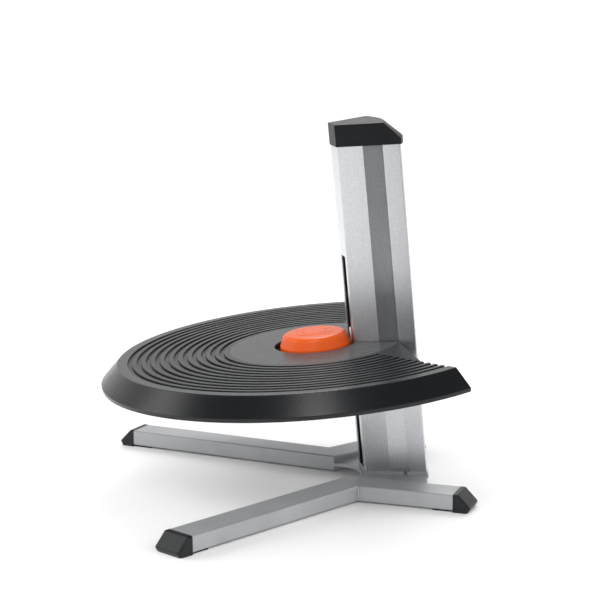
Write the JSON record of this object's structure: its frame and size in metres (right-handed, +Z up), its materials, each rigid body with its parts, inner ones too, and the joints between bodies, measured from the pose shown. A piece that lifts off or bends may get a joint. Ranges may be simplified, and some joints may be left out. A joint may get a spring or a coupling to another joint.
{
  "type": "height-adjustable foot platform",
  "caption": "Free-standing foot platform: a ribbed fan-shaped tread slides on a leaning aluminium column above splayed tube legs, released by a round foot button.",
  "frame": {"origin": "on the floor at the bottom centre of the object's box, on its plane of symmetry", "axes": "+Z up, the user is at -Y, X runs sideways with the plane of symmetry at X = 0; the column leans 5.25 degrees towards -Y"},
  "size_m": [0.5414, 0.4442, 0.4617],
  "materials": {
    "leg_paint": "silver-grey satin powder coat",
    "column_alu": "fine-grained satin anodised",
    "tread_black": "satin moulded black",
    "centre_grey": "semi-gloss grey",
    "cap_black": "satin moulded black",
    "button_orange": "semi-gloss orange",
    "inner_steel": "black powder coat",
    "bright_steel": "zinc plated",
    "rod_chrome": "ground and plated",
    "soft_rubber": "matt",
    "glide_white": "natural acetal"
  },
  "bodies": {
    "base": {"leg_tube_front_left": "leg_paint", "leg_tube_rear_left": "leg_paint", "leg_tube_front_right": "leg_paint", "leg_tube_rear_right": "leg_paint", "foot_cap_front_left": "cap_black", "foot_cap_rear_left": "cap_black", "foot_cap_front_right": "cap_black", "foot_cap_rear_right": "cap_black", "leg_welds": "leg_paint", "base_plate": "leg_paint", "column_foot": "leg_paint", "base_bolts": "bright_steel", "column": "column_alu", "column_cap": "cap_black", "slot_lip_left": "cap_black", "slot_lip_right": "cap_black", "stop_buffers": "soft_rubber", "gas_spring_cylinder": "inner_steel", "gas_spring_head": "bright_steel", "gas_spring_nut": "bright_steel"},
    "carriage": {"carriage_frame": "inner_steel", "slot_key": "glide_white", "glide_shoe_upper_left": "glide_white", "glide_shoe_upper_right": "glide_white", "glide_shoe_lower_left": "glide_white", "glide_shoe_lower_right": "glide_white", "neck_bolts": "bright_steel", "support_bracket": "inner_steel", "support_arm_front": "inner_steel", "support_arm_left": "inner_steel", "support_arm_right": "inner_steel", "arm_pads": "soft_rubber", "arm_screws": "bright_steel", "platform_shell": "tread_black", "centre_plate": "centre_grey", "button_housing": "cap_black", "housing_screws": "bright_steel", "gas_spring_rod": "rod_chrome", "gas_spring_piston": "bright_steel", "gas_rod_nut": "bright_steel"},
    "release": {"button_cap": "button_orange", "button_stem": "glide_white", "stem_clip": "bright_steel", "button_spring": "bright_steel", "release_yoke": "inner_steel", "yoke_screw": "bright_steel", "release_rod": "rod_chrome", "release_finger": "inner_steel", "release_pin": "rod_chrome"}
  },
  "joints": [
    {"name": "platform_slide", "type": "slide", "parent": "base", "child": "carriage", "axis": [0, -0.0915, 0.9958], "range_m": [-0.09, 0.09]},
    {"name": "button_press", "type": "slide", "parent": "carriage", "child": "release", "axis": [0, 0.0915, -0.9958], "range_m": [0, 0.006], "stiffness_N_per_m": 1500, "springref_m": -0.005, "deforming": ["button_spring"]}
  ]
}
